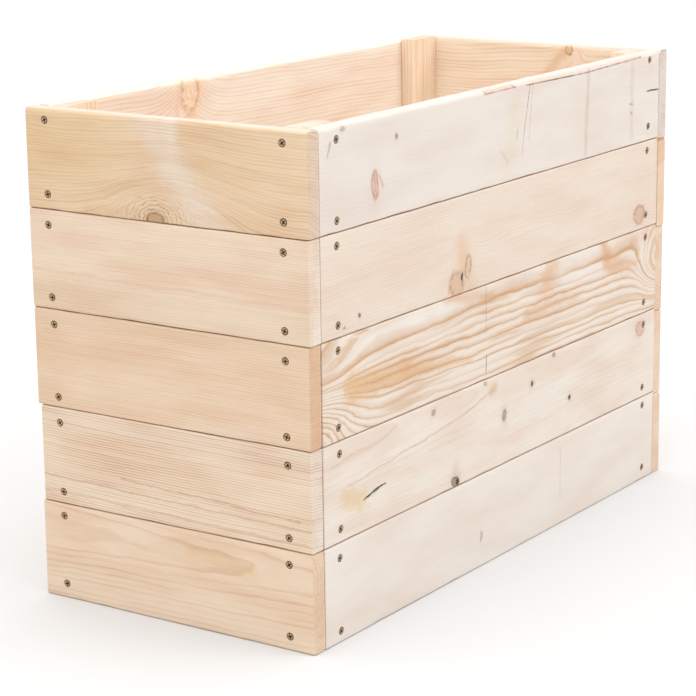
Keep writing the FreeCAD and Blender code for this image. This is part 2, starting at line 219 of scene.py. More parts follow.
# How dark the wood is through a year, from its first growth to its last.
SOFT_LINE = ((0.0, 0.0), (0.45, 0.1), (0.8, 0.65), (0.92, 1.0), (1.0, 0.0))
FINE_LINE = ((0.0, 0.0), (0.6, 0.05), (0.84, 0.75), (0.93, 1.0), (1.0, 0.0))
WIDE_LINE = ((0.0, 0.15), (0.3, 0.0), (0.62, 0.35), (0.86, 1.0), (1.0, 0.15))

ROSE = seen(226, 186, 164)
RUST = seen(184, 124, 92)
UMBER = seen(126, 92, 66)
SOOT = seen(74, 52, 40)
# Painted highlight: the pale colour laid on the upper edge of the top row, where the light falls.
PALE_RIM_HIGHLIGHT = seen(228, 219, 211)
# Painted shade: the brown laid on the board edges in the gaps between rows, where shade falls.
GAP_SHADE_BROWN = seen(206, 160, 128)
# Painted shade: the dark brown on the end grain at the corner joints, where shade falls.
CORNER_SHADE_BROWN = seen(140, 96, 70)

# A streak wider than this lies under the rings, a narrower one over them.
BROAD = 3.0
# Marks wander with the wood: (length, height, reach) of the slow and the quick wandering.
STRAYS = ((38, 22, 6.0), (7, 5, 2.8))


@dataclass
class Knot:
    """A branch, seen on the face: where it is, its half length and half height.

    With no depth it is only a swelling that bends the grain.  Push lifts the rings over
    it, and pinch draws them together."""

    u: float
    v: float
    long: float
    high: float
    heart: tuple = ROSE
    rim: tuple = RUST
    depth: float = 0.8
    push: float = 0.0
    pinch: float = 0.0
    reach: float = 2.6
    shells: float = 0.0


@dataclass
class Streak:
    """A band of colour from one point of the face to another, which may narrow."""

    start: tuple
    stop: tuple
    half: float
    soft: float
    colour: tuple
    amount: float
    ragged: float = 0.5
    narrowing: float = 0.0


@dataclass
class Slit:
    """An open split: its ends on the face, its widest place, and how deep it goes."""

    start: tuple
    stop: tuple
    width: float
    depth: float
    bow: float = 0.0


@dataclass
class Timber:
    """One piece of timber: u runs along its grain, v across its face, w into it.

    Flame is how far whole bands of rings differ in colour, marked the depth of the face
    that has the streaks, crown how strong the painted highlight on the upper edge is, seam
    how strong the painted brown shade on the edges in the gaps and corners is, and within
    the colour of the far face where it differs."""

    early: tuple = seen(240, 226, 214)
    late: tuple = seen(230, 208, 190)
    contrast: float = 0.5
    ring: float = 3.0
    pith: tuple = (-60.0, 40.0)
    tilt: tuple = (0.0, 0.0)
    wobble: float = 5.0
    ripple: float = 0.6
    uneven: float = 1.0
    shift: float = 0.0
    band: tuple = SOFT_LINE
    tint: tuple = linear(242, 222, 210)
    tinting: float = 0.5
    sawn: tuple = linear(250, 246, 244)
    fibre: float = 0.8
    flame: float = 0.0
    marked: float = 0.0
    rim_highlight: float = 0.0
    seam: float = 0.0
    within: tuple = ()
    seed: float = 0.0
    knots: tuple = ()
    streaks: tuple = ()
    slits: tuple = ()


@dataclass
class Place:
    """Where a piece's timber coordinates start, and which way each of them runs."""

    start: tuple
    u: tuple
    v: tuple
    w: tuple

    def coordinates(self, graph):
        """u, v and w over the surface, in millimetres, and how far a face is end grain."""
        texture = graph.add("ShaderNodeTexCoord")
        moved = graph.vector("SUBTRACT", texture.outputs["Object"], self.start).outputs[0]
        along = []
        for axis in (self.u, self.v, self.w):
            scaled = tuple(part / MM for part in axis)
            dot = graph.vector("DOT_PRODUCT", moved, scaled).outputs["Value"]
            along.append(Field(graph, dot))
        facing = graph.vector("DOT_PRODUCT", texture.outputs["Normal"], self.u).outputs["Value"]
        sawn = graph.rise(Field(graph, facing).size(), 0.55, 0.85)
        return (*along, sawn)

    def inward(self, point):
        """A point of the model in timber coordinates, in millimetres."""
        moved = (point - Vector(self.start)) / MM
        return [moved.dot(Vector(axis)) for axis in (self.u, self.v, self.w)]

    def outward(self, u, v, w):
        """The point of the model at the given timber coordinates."""
        turned = Vector(self.u) * u + Vector(self.v) * v + Vector(self.w) * w
        return Vector(self.start) + turned * MM


def strayed(graph, u, v, seed):
    """The coordinates of the face, as they are and as they wander."""
    flat = graph.point(u, v)
    face = flat
    for size_u, size_v, far in STRAYS:
        at = graph.point(u / size_u, v / size_v + seed)
        colour = graph.cloud(at, 1.0).outputs[1]
        centred = graph.vector("SUBTRACT", colour, (0.5, 0.5, 0.5)).outputs[0]
        stray = graph.vector("MULTIPLY", centred, (far, far, 0.0)).outputs[0]
        face = graph.vector("ADD", face, stray).outputs[0]
    return flat, face


def growth(graph, timber, u, v, w, face):
    """The running number of the ring, how late in its year it is, and how far knots are.

    The trunk isn't straight: the rings wander slowly, ripple quickly and bend at knots."""
    seed = timber.seed
    slow = graph.cloud(graph.point(u / 210 + seed, v / 60 + 3.1, w / 60), 1.0).outputs[1]
    quick = graph.cloud(graph.point(u / 42, v / 13 + seed, w / 13), 2.0).outputs[0]
    sway = graph.add("ShaderNodeSeparateXYZ", ((0, slow),)).outputs
    sway_v = (Field(graph, sway[0]) - 0.5) * (2.0 * timber.wobble)
    sway_w = (Field(graph, sway[1]) - 0.5) * (2.0 * timber.wobble)
    quiver = (Field(graph, quick) - 0.5) * (2.0 * timber.ripple)

    turned = v + sway_v
    pushed = quiver / timber.ring
    reaches = []
    for knot in timber.knots:
        offset = graph.vector("SUBTRACT", face, (knot.u, knot.v, 0.0)).outputs[0]
        shape = (1 / knot.long, 1 / knot.high, 0.0)
        scaled = graph.vector("MULTIPLY", offset, shape).outputs[0]
        distance = Field(graph, graph.vector("LENGTH", scaled).outputs["Value"])
        reaches.append(distance)
        near = (distance / knot.reach).bell()
        if knot.push:
            pushed = pushed + near * knot.push
        if knot.pinch:
            turned = turned + (v - knot.v) * near * knot.pinch

    from_pith_v = turned - u * timber.tilt[0] - timber.pith[0]
    from_pith_w = w + sway_w - u * timber.tilt[1] + timber.pith[1]
    radius = (from_pith_v * from_pith_v + from_pith_w * from_pith_w).root()
    rings = radius / timber.ring + pushed + timber.shift
    years = graph.cloud(graph.point(rings * 0.37 + seed, u / 900), 2.0).outputs[0]
    rings = rings + (Field(graph, years) - 0.5) * timber.uneven
    year = Field(graph, graph.cloud(graph.point(rings * 0.8, u / 260 + seed), 0.0).outputs[0])
    summer = graph.profile(rings.part(), timber.band) * graph.rise(year, 0.3, 0.62, 0.35, 1.1)
    return rings, summer, reaches


def ground(graph, timber, u, w, rings):
    """The colour between the rings, before any narrow mark."""
    colour = timber.early
    if timber.within:
        far_face = graph.rise(w, BOARD_THICK - 2.5, BOARD_THICK - 0.2)
        colour = graph.blend(far_face, colour, timber.within)
    if timber.flame:
        at = graph.point(rings * 0.75 + timber.seed, u / 130)
        flame = graph.rise(graph.cloud(at, 1.0).outputs[0], 0.52, 0.66) * timber.flame
        colour = graph.blend(flame, colour, timber.late)
    return colour


def paint_gap_shade(graph, colour, timber, v, w, sawn):
    """Paints brown shade on the edges in the gaps and corners, and a painted highlight on the upper
    edge of the top row.
    """
    # Lower and upper: painted shade on the edges in the gaps between rows.
    lower = graph.rise(v, 1.0, 0.2, 0.0, timber.seam)
    upper = graph.rise(v, BOARD_HIGH - 1.3, BOARD_HIGH - 0.2)
    # Corner: painted shade on the end grain next to the inner face, at the corner joint.
    corner = sawn * graph.rise(w, BOARD_THICK - 1.4, BOARD_THICK - 0.4, 0.0, timber.seam)
    colour = graph.blend(lower, colour, GAP_SHADE_BROWN)
    # Painted highlight on the upper edge of the top row; on the other rows that edge gets painted
    # shade.
    if timber.rim_highlight:
        colour = graph.blend(upper * timber.rim_highlight, colour, PALE_RIM_HIGHLIGHT)
    else:
        colour = graph.blend(upper * timber.seam, colour, GAP_SHADE_BROWN)
    return graph.blend(corner, colour, CORNER_SHADE_BROWN)


def pine(name, place, timber):
    """Planed pine, cut from a log whose rings run through the whole piece."""
    graph = Graph(name)
    u, v, w, sawn = place.coordinates(graph)
    seed = timber.seed
    flat, face = strayed(graph, u, v, seed)
    skin = graph.rise((w - timber.marked).size(), 9, 3)
    wander = graph.cloud(graph.point(u / 9 + seed, v / 6, w / 6), 2.0).outputs[0]
    wander = Field(graph, wander) - 0.5
    rings, summer, reaches = growth(graph, timber, u, v, w, face)

    # Fibres and resin canals run along the grain.
    fibre_at = graph.point(u / 34 + seed, v / 0.9, w / 0.9)
    fibre = Field(graph, graph.cloud(fibre_at, 3.0, 0.6).outputs[0]) - 0.5
    canal_at = graph.point(u / 7, v / 0.55 + seed, w / 0.55)
    canal = graph.rise(graph.cloud(canal_at, 0.0).outputs[0], 0.74, 0.84)
    patch_at = graph.point(u / 130 + seed, v / 34 + seed, w / 34)
    patch = Field(graph, graph.cloud(patch_at, 2.0).outputs[0])

    colour = ground(graph, timber, u, w, rings)
    for streak in timber.streaks:
        if streak.half > BROAD:
            colour = lay_streak(graph, colour, face, wander, skin, streak)
    strength = (patch * 1.1 + 0.45) * timber.contrast
    colour = graph.blend(summer * strength, colour, timber.late)
    tinting = graph.rise(patch, 0.35, 0.72) * timber.tinting
    colour = graph.blend(tinting, colour, timber.tint, "MULTIPLY")
    grey = fibre * (timber.fibre * 0.3) + 1.0 - canal * (0.07 * timber.fibre)
    colour = graph.blend(1.0, colour, graph.grey(grey), "MULTIPLY")

    for streak in timber.streaks:
        if streak.half <= BROAD:
            where = face if streak.ragged else flat
            colour = lay_streak(graph, colour, where, wander, skin, streak)
    sunk = sawn * 0.0
    for knot, distance in zip(timber.knots, reaches):
        if knot.depth:
            colour, mask = lay_knot(graph, colour, distance, wander, knot)
            sunk = sunk + mask
    # Painted shade in the gaps and corner joints, and a painted highlight on the top row's upper
    # edge.
    if timber.seam:
        colour = paint_gap_shade(graph, colour, timber, v, w, sawn)

    # Sawn ends have the marks of the saw and open fibre ends.
    saw_at = graph.point(u, v / 1.1 + w / 4, w / 7 + seed)
    saw = Field(graph, graph.cloud(saw_at, 2.0).outputs[0])
    ends = graph.blend(sawn, (1.0, 1.0, 1.0), timber.sawn)
    colour = graph.blend(1.0, colour, ends, "MULTIPLY")
    speckle = 1.0 - sawn * graph.rise(saw, 0.5, 0.8) * 0.16
    colour = graph.blend(1.0, colour, graph.grey(speckle), "MULTIPLY")

    height = summer * 0.35 + fibre * (1.2 * timber.fibre) - canal * 0.5 - sawn * saw * 1.6
    height = height - sunk * 0.5
    bump = graph.add(
        "ShaderNodeBump", (("Strength", 0.6), ("Distance", 0.00016), ("Height", height))
    )
    roughness = 0.62 + fibre * 0.2 - summer * (0.1 * timber.contrast) + sawn * 0.15
    return graph.surface(colour, roughness, bump.outputs[0])


def lay_streak(graph, colour, face, wander, skin, streak):
    """A band between two points, its edge soft and a little ragged.

    One that isn't ragged at all keeps to its line."""
    start = Vector((*streak.start, 0.0))
    way = Vector((*streak.stop, 0.0)) - start
    offset = graph.vector("SUBTRACT", face, tuple(start)).outputs[0]
    scaled = tuple(way / max(way.length_squared, 1e-6))
    share = Field(graph, graph.vector("DOT_PRODUCT", offset, scaled).outputs["Value"]).limited()
    foot = graph.add("ShaderNodeVectorMath", ((0, tuple(way)), ("Scale", share)), operation="SCALE")
    aside = graph.vector("SUBTRACT", offset, foot.outputs[0]).outputs[0]
    distance = Field(graph, graph.vector("LENGTH", aside).outputs["Value"])
    distance = distance + wander * (2.0 * streak.ragged * streak.half)
    if streak.narrowing:
        distance = distance + share * (streak.narrowing * streak.half)
    inside = max(0.0, streak.half - streak.soft)
    amount = graph.rise(distance, streak.half + streak.soft, inside, 0.0, streak.amount)
    amount = amount * (wander * (0.5 if streak.half > BROAD else 2.2) + 0.95) * skin
    return graph.blend(amount.limited(), colour, streak.colour)


def lay_knot(graph, colour, distance, wander, knot):
    """A knot: a ringed heart, a dark rim where it has one, and a warm halo."""
    uneven = distance + wander * 0.8
    mask = graph.rise(uneven, 1.1, 0.88, 0.0, knot.depth)
    halo = (distance / 1.7).bell() * (0.35 * knot.depth)
    colour = graph.blend(halo, colour, knot.heart)
    rings = graph.profile((uneven * 3.3).part(), ((0.0, 0.0), (0.7, 0.5), (1.0, 0.0)))
    heart = graph.blend(rings * 0.5, knot.heart, knot.rim)
    colour = graph.blend(mask, colour, heart)
    edge = ((uneven - 0.97) * 6.0).bell() * (wander * 2.6 + 0.6) * knot.depth
    colour = graph.blend(edge.limited(), colour, knot.rim)
    if knot.shells:
        line = graph.profile((uneven * 2.1).part(), FINE_LINE) * graph.rise(uneven, 0.8, 1.1)
        line = line * (distance / 2.9).bell() * (wander + 0.8) * knot.shells
        colour = graph.blend(line.limited(), colour, knot.rim)
    return colour, mask


# ------------------------------------------------------------------------------------
# The timber of each piece
# ------------------------------------------------------------------------------------

LEFT_END = {
    5: Timber(
        early=seen(238, 212, 179),
        late=seen(208, 168, 122),
        contrast=0.5,
        ring=3.2,
        pith=(-70.0, 30.0),
        wobble=8.0,
        ripple=1.8,
        flame=0.3,
        sawn=(0.95, 0.96, 1.08),
        seed=1.3,
        knots=(
            Knot(-9, 3, 11, 7, seen(200, 164, 122), seen(142, 96, 62), 0.9, -4, 0, 2.4, 1.0),
            Knot(12, -4, 70, 58, depth=0.0, push=-17, reach=1.0),
        ),
        streaks=(
            Streak((-170, 55), (-90, 66), 26, 40, seen(229, 198, 150), 0.6),
            Streak((60, 80), (170, 60), 20, 34, seen(234, 206, 168), 0.4, 1.0),
            Streak((-20, 104), (6, 60), 12, 16, seen(241, 226, 210), 0.85, 1.0),
            Streak((10, 96), (14, 48), 5, 9, seen(243, 232, 218), 0.85, 1.2),
            Streak((14, 50), (56, 2), 14, 16, seen(241, 228, 211), 0.9, 1.0),
            Streak((-34, 6), (-90, 3), 3, 8, seen(214, 170, 132), 0.35, 1.0),
        ),
    ),
    4: Timber(
        early=seen(242, 220, 195),
        late=seen(220, 188, 160),
        contrast=0.6,
        ring=2.4,
        pith=(-190.0, 20.0),
        wobble=3.0,
        seed=4.1,
        sawn=(1.03, 1.11, 1.23),
        streaks=(
            Streak((-170, 15), (170, 12), 18, 7, seen(236, 217, 190), 0.6, 0.3),
            Streak((-170, 38), (170, 34), 0.7, 2.5, seen(224, 192, 164), 0.5, 1.0),
        ),
    ),
    3: Timber(
        early=seen(240, 214, 186),
        late=seen(216, 180, 148),
        contrast=0.55,
        ring=2.7,
        pith=(-170.0, -10.0),
        wobble=3.0,
        seed=7.7,
        sawn=(0.91, 0.8, 0.72),
        streaks=(
            Streak((-170, 94), (170, 92), 6, 9, seen(224, 192, 161), 0.45, 0.5),
            Streak((30, 8), (130, 6), 6, 10, seen(241, 222, 199), 0.5, 0.8),
        ),
    ),
    2: Timber(
        early=seen(244, 223, 198),
        late=seen(202, 164, 130),
        contrast=0.8,
        ring=2.7,
        pith=(-150.0, 10.0),
        tilt=(-0.02, 0.0),
        wobble=3.0,
        seed=11.9,
        sawn=(0.99, 1.05, 1.16),
        streaks=(
            Streak((-170, 90), (170, 88), 10, 8, seen(239, 219, 199), 0.6, 0.3),
            Streak((-60, 37), (150, 29), 0.6, 1.2, seen(196, 154, 122), 0.55, 1.0),
            Streak((-164, 27), (160, 21), 0.7, 1.6, seen(202, 162, 128), 0.45, 1.0),
            Streak((-164, 12), (160, 7), 0.6, 1.6, seen(202, 162, 128), 0.4, 1.0),
        ),
    ),
    1: Timber(
        early=seen(243, 220, 194),
        late=seen(218, 180, 140),
        contrast=0.45,
        ring=5.0,
        pith=(73.0, 31.4),
        tilt=(0.0, -0.03),
        wobble=3.0,
        ripple=1.6,
        band=FINE_LINE,
        seed=14.2,
        sawn=(0.96, 0.93, 0.91),
        streaks=(Streak((20, 76), (92, 69), 4, 8, seen(236, 206, 166), 0.6, 1.2),),
    ),
}

FRONT = {
    5: Timber(
        early=seen(239, 229, 219),
        late=seen(229, 210, 196),
        contrast=0.22,
        ring=4.0,
        pith=(-120.0, 60.0),
        tint=linear(246, 236, 232),
        fibre=0.4,
        seed=21.0,
        knots=(
            Knot(-242, 33, 6, 13, seen(224, 188, 166), seen(172, 108, 82), 0.75, pinch=-0.6),
            Knot(-205, 75, 2, 2.5, UMBER, UMBER, 0.6),
            Knot(-294, 91, 4, 2, UMBER, UMBER, 0.35),
        ),
        streaks=(
            Streak((-243, 46), (-240, 22), 0.6, 1.0, seen(170, 106, 80), 0.8),
            Streak((-234, 40), (-228, 30), 1.0, 2.0, seen(206, 140, 112), 0.5),
            Streak((-318, 72), (-313, 82), 0.8, 1.6, UMBER, 0.45),
            Streak((14, 74), (-2, 8), 9, 16, seen(234, 222, 198), 0.45, 1.0),
            Streak((44, 93), (39, 72), 0.4, 0.7, seen(150, 106, 78), 0.8, 0.0),
            Streak((39, 72), (33, 48), 0.4, 0.7, seen(158, 116, 88), 0.75, 0.0),
            Streak((33, 48), (28, 23), 0.35, 0.7, seen(164, 124, 96), 0.65, 0.0),
            Streak((50, 93), (42, 36), 0.5, 1.2, seen(206, 172, 148), 0.5, 0.0),
            Streak((-14, 34), (0, 21), 0.4, 2.4, seen(208, 178, 152), 0.3),
            Streak((19, 50), (18, 42), 0.8, 1.6, seen(190, 150, 118), 0.5),
            Streak((168, 92), (163, 6), 1.0, 5, seen(208, 184, 160), 0.5, 1.6),
            Streak((267, 88), (268, 8), 1.6, 6, seen(220, 198, 184), 0.45, 1.6),
            Streak((263, 45), (271, 43), 0.7, 1.4, seen(186, 118, 96), 0.7),
            Streak((265, 36), (269, 34), 0.8, 1.4, seen(186, 118, 96), 0.7),
            Streak((302, 55.3), (333, 54.6), 0.5, 0.7, SOOT, 0.85, 0.4),
            Streak((-42, 95.6), (12, 95.8), 2.0, 1.0, seen(230, 194, 176), 0.7, 0.0),
            Streak((-47, 97), (-43, 94), 0.5, 0.8, seen(170, 112, 90), 0.7, 0.0),
            Streak((8, 97), (13, 94), 0.5, 0.8, seen(170, 112, 90), 0.7, 0.0),
            Streak((-46, 93.6), (16, 94.0), 0.4, 0.7, seen(176, 112, 90), 0.75, 0.0),
            Streak((37, 93.2), (160, 91.6), 0.5, 0.8, seen(158, 100, 78), 0.8, 0.0),
            Streak((160, 91.6), (288, 94.6), 0.5, 0.8, seen(158, 100, 78), 0.8, 0.0),
            Streak((48, 96.4), (280, 96.4), 2.4, 2.0, seen(232, 204, 186), 0.55, 0.3),
        ),
        slits=(
            Slit((301, 55.4), (334, 54.6), 1.3, 11.0),
            Slit((40, 93.2), (158, 91.6), 0.6, 2.4),
            Slit((-44, 97.5), (12, 97.8), 2.2, 1.0),
        ),
    ),
    4: Timber(
        early=seen(241, 225, 209),
        late=seen(224, 198, 176),
        tinting=0.3,
        contrast=0.45,
        ring=3.0,
        pith=(-130.0, 40.0),
        ripple=1.0,
        seed=24.0,
        knots=(
            Knot(25, 44, 86, 17, depth=0.0, pinch=-0.55, push=-1.2, reach=1.0),
            Knot(-98, 11, 14, 12, seen(224, 188, 160), seen(196, 144, 112), 0.75, -3.0, reach=2.2),
            Knot(-77, 25, 6, 10, seen(232, 204, 176), seen(146, 98, 68), 0.8, -3.0, reach=2.6),
            Knot(-87, 17, 1.7, 3.2, SOOT, SOOT, 1.0),
            Knot(289, 17, 13, 11, seen(224, 186, 160), seen(176, 122, 92), 0.8, -3.0, reach=2.2),
            Knot(-271, 15, 2, 2, UMBER, SOOT, 0.8),
            Knot(-296, 7, 2, 1.4, UMBER, UMBER, 0.5),
        ),
        streaks=(
            Streak((-88, 48), (-84, 26), 7, 14, seen(234, 194, 154), 0.6, 1.0),
            Streak((-84, 30), (-70, 4), 8, 12, seen(234, 200, 168), 0.5, 1.0),
            Streak((-114, 4), (-104, 26), 0.8, 2.0, seen(196, 146, 118), 0.5, 1.0),
            Streak((330, 98), (333, 10), 1.0, 9, seen(238, 200, 158), 0.5, 1.0),
        ),
    ),
    3: Timber(
        early=seen(243, 231, 218),
        late=seen(216, 174, 132),
        contrast=1.0,
        ring=7.6,
        shift=-0.5,
        uneven=1.8,
        pith=(108.0, 42.0),
        wobble=7.0,
        ripple=2.6,
        band=WIDE_LINE,
        tinting=0.3,
        flame=0.5,
        fibre=0.6,
        seed=27.0,
        knots=(
            Knot(-347, 50, 12, 10, ROSE, RUST, 0.8, pinch=2.4, reach=5.0),
            Knot(342, 54, 17, 14, depth=0.0, push=-8.0, reach=2.4),
        ),
        streaks=(
            Streak((-284, 46), (-190, 42), 14, 9, seen(232, 192, 146), 0.95, 0.7, 0.4),
            Streak((-190, 42), (-70, 28), 8, 7, seen(232, 192, 148), 0.85, 0.8, 0.8),
            Streak((-250, 82), (-60, 86), 10, 12, seen(245, 237, 228), 0.85, 0.8),
            Streak((20, 86), (200, 80), 12, 14, seen(245, 237, 230), 0.7, 0.8),
            Streak((-120, 99), (-30, 84), 4, 5, seen(228, 188, 152), 0.7, 0.6),
            Streak((96, 104), (80, 76), 14, 12, seen(234, 196, 164), 0.8, 1.2),
            Streak((206, 102), (214, 80), 8, 9, seen(226, 180, 138), 0.85, 1.2),
            Streak((214, 72), (282, 60), 7, 9, seen(230, 188, 150), 0.8, 1.2, 0.6),
            Streak((40, 51), (150, 50), 4, 9, seen(228, 186, 148), 0.7, 1.6, 1.2),
            Streak((275, 90), (335, 90), 6, 9, seen(238, 208, 190), 0.6, 0.6),
            Streak((-42, 98), (-42, 50), 0.3, 0.7, seen(150, 128, 106), 0.6, 0.0),
            Streak((-41, 25), (-42, 8), 0.5, 0.8, seen(120, 96, 76), 0.75, 0.0),
        ),
    ),
    2: Timber(
        early=seen(243, 232, 220),
        late=seen(228, 206, 186),
        contrast=0.3,
        ring=4.0,
        pith=(85.0, 45.0),
        tilt=(0.0, -0.02),
        seed=31.0,
        knots=(
            Knot(-142, 86, 3.4, 3, seen(176, 156, 124), seen(160, 132, 96), 0.7),
            Knot(-44, 94, 3, 2.4, seen(190, 166, 130), seen(160, 130, 96), 0.6),
            Knot(98, 94, 3, 2.4, seen(150, 126, 100), UMBER, 0.6),
            Knot(51, 72, 2.4, 2.6, SOOT, UMBER, 0.9),
            Knot(-5, 52, 4, 6.5, seen(182, 160, 124), seen(140, 116, 84), 0.8),
            Knot(134, 39, 2.6, 2.6, SOOT, UMBER, 0.9),
            Knot(-101, 5, 6.5, 6, seen(176, 152, 130), SOOT, 0.95, push=-3, reach=3),
            Knot(-97, 4, 2.4, 3, SOOT, SOOT, 0.9),
            Knot(296, 81, 10, 9, seen(226, 188, 166), seen(186, 134, 108), 0.75, push=-3),
        ),
        streaks=(
            Streak((-24, 86), (-30, 84), 3.5, 6, seen(228, 188, 146), 0.65),
            Streak((-25, 85), (-90, 71), 0.45, 1.2, seen(196, 168, 138), 0.6, 1.0),
            Streak((-90, 71), (-292, 51), 0.4, 1.2, seen(204, 178, 150), 0.55, 1.0),
            Streak((-208, 90), (-235, 82), 0.5, 1.4, seen(208, 182, 152), 0.5, 1.0),
            Streak((-235, 82), (-320, 76), 0.4, 1.4, seen(212, 186, 158), 0.45, 1.0),
            Streak((-296, 40), (-268, 30), 7, 10, seen(238, 208, 164), 0.75, 1.8),
            Streak((-101, 22), (-101, 8), 5, 7, seen(228, 204, 182), 0.5),
            Streak((-265, 31), (-229, 38), 0.5, 1.3, SOOT, 0.8),
        ),
        slits=(Slit((-267, 30.6), (-227, 38.2), 2.6, 7.0, bow=1.2),),
    ),
    1: Timber(
        early=seen(243, 233, 223),
        late=seen(234, 217, 204),
        contrast=0.2,
        ring=4.0,
        pith=(-120.0, 60.0),
        tint=linear(246, 234, 228),
        fibre=0.4,
        seed=35.0,
        knots=(Knot(-51, 33, 2.2, 5, seen(196, 172, 150), seen(176, 146, 122), 0.6),),
        streaks=(Streak((114, 84), (114, 30), 0.4, 1.6, seen(206, 182, 162), 0.4, 1.0),),
    ),
}

BACK = {
    5: Timber(
        early=linear(238, 226, 212),
        late=linear(216, 182, 148),
        contrast=0.5,
        ring=3.8,
        pith=(-60.0, 30.0),
        tilt=(0.02, 0.0),
        ripple=1.0,
        sawn=linear(228, 224, 224),
        seed=52.0,
        knots=(
            Knot(117, 87, 15, 23, linear(240, 214, 186), linear(190, 142, 102), 0.75, -5, 0, 2.2),
            Knot(298, 72, 3.5, 4, linear(190, 150, 110), UMBER, 0.7),
        ),
        streaks=(
            Streak((100, 98), (124, 36), 8, 10, linear(238, 208, 174), 0.75, 1.2),
            Streak((134, 98), (142, 50), 2, 5, linear(226, 190, 154), 0.5, 1.0),
            Streak((125, 90), (122, 79), 0.7, 0.9, RUST, 0.9),
            Streak((116, 86), (112, 74), 0.8, 0.9, RUST, 0.9),
        ),
        marked=BOARD_THICK,
    ),
}

RIGHT_END = {
    5: Timber(
        early=linear(239, 226, 206),
        late=linear(214, 180, 140),
        contrast=0.5,
        ring=3.4,
        pith=(130.0, 28.0),
        tilt=(0.0, 0.04),
        ripple=1.2,
        sawn=linear(216, 218, 230),
        seed=61.0,
        knots=(
            Knot(-50, 94, 5, 5.5, linear(222, 184, 144), linear(150, 106, 74), 0.85, 5, reach=2.6),
        ),
        streaks=(
            Streak((-46, 92), (-18, 62), 3.4, 7, linear(214, 172, 126), 0.5, 0.8),
            Streak((-52, 91), (-52, 89), 0.8, 0.8, SOOT, 0.9),
        ),
        marked=BOARD_THICK,
    ),
}


def plain(seed):
    """Ordinary pine for the pieces of which little is known, each with a figure of its own."""
    pick = random.Random(seed)
    warmth = pick.uniform(0, 1)
    aside = pick.choice((-1, 1)) * pick.uniform(20, 150)
    pith = (aside + BOARD_HIGH / 2, pick.uniform(20, 60))
    knots = []
    for _ in range(pick.choice((0, 1, 1, 2, 3))):
        long = pick.uniform(3, 12)
        knots.append(
            Knot(
                pick.uniform(-150, 150),
                pick.uniform(12, 86),
                long,
                long * pick.uniform(0.7, 1.0),
                linear(204, 166, 134),
                linear(160, 112, 80),
                0.8,
                push=pick.choice((-4, 4)),
                reach=2.6,
            )
        )
    return Timber(
        early=linear(234, 212 + 6 * warmth, 186 + 14 * warmth),
        late=linear(212, 178, 142),
        contrast=pick.uniform(0.4, 0.7),
        ring=pick.uniform(2.6, 5.5),
        pith=pith,
        tilt=(pick.uniform(-0.02, 0.02), pick.uniform(-0.03, 0.03)),
        sawn=linear(232, 226, 222),
        seed=seed * 1.7,
        knots=tuple(knots),
    )


BATTEN = replace(
    plain(71),
    early=linear(240, 224, 203),
    late=linear(222, 192, 158),
    sawn=linear(222, 220, 226),
    knots=(),
)
KNOWN = {"left_end": LEFT_END, "front": FRONT, "back": BACK, "right_end": RIGHT_END}
FAR_FACE = linear(240, 222, 202)
# Strength of the painted shade in the gaps and corners, and of the painted highlight on the top
# row's upper edge.
GAP_SHADE_AMOUNT, RIM_HIGHLIGHT_AMOUNT = 0.6, 0.8


def starting(node, table, otherwise):
    """The entry of a table whose key the node's name starts with."""
    for start, entry in table.items():
        if node.startswith(start):
            return entry
    return otherwise


def place_of(node):
    """The timber coordinates of a node: u along its grain, v across it, w into it."""
    low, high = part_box(node)
    middle = (low + high) / 2
    if node.startswith("front_board"):
        return Place((0.0, low.y, low.z), (1, 0, 0), (0, 0, 1), (0, 1, 0))
    if node.startswith("back_board"):
        return Place((0.0, high.y, low.z), (-1, 0, 0), (0, 0, 1), (0, -1, 0))
    if node.startswith("left_end"):
        return Place((low.x, 0.0, low.z), (0, -1, 0), (0, 0, 1), (1, 0, 0))
    if node.startswith("right_end"):
        return Place((high.x, 0.0, low.z), (0, 1, 0), (0, 0, 1), (-1, 0, 0))
    if node.startswith("corner_batten"):
        return Place((low.x, low.y, 0.0), (0, 0, 1), (1, 0, 0), (0, 1, 0))
    if node.startswith("floor_cleat"):
        return Place((0.0, low.y, low.z), (1, 0, 0), (0, 0, 1), (0, 1, 0))
    return Place((low.x, 0.0, high.z), (0, 1, 0), (1, 0, 0), (0, 0, -1))


def timber_of(node, number):
    """What is known of the node's timber, or plain pine."""
    if node.startswith("corner_batten") or node.startswith("floor_cleat"):
        return replace(BATTEN, seed=70.0 + 1.3 * number)
    timber = starting(node, KNOWN, {}).get(int(node[-1])) or plain(41 + number)
    if "_board_row_" in node:
        # Board rows get the painted gap shade, and the top row gets the painted highlight on its
        # upper edge.
        timber = replace(timber, seam=GAP_SHADE_AMOUNT, rim_highlight=RIM_HIGHLIGHT_AMOUNT if in_top_row(node) else 0.0)
    if node.startswith("front") or node.startswith("left"):
        timber = replace(timber, within=FAR_FACE)
    return timber


def in_top_row(node):
    return node.endswith("row_5")


# ------------------------------------------------------------------------------------
# The timber pieces: the model's own boards, with worn edges and open splits
# ------------------------------------------------------------------------------------

STATION = 15.0
LOOP = 4.5
EDGE_REACH = 2.4
SLOW_WEAR, QUICK_WEAR = 75, 14
CREST = 0.9
END_REACH = 1.5
GENTLE = math.radians(40)


def link(name, data):
    item = bpy.data.objects.new(name, data)
    bpy.context.scene.collection.objects.link(item)
    return item


def weld(mesh):
    """Joins the faces of a model's mesh, which come apart, into closed shells."""
    shape = bmesh.new()
    shape.from_mesh(mesh)
    bmesh.ops.remove_doubles(shape, verts=shape.verts, dist=1e-6)
    shape.to_mesh(mesh)
    shape.free()


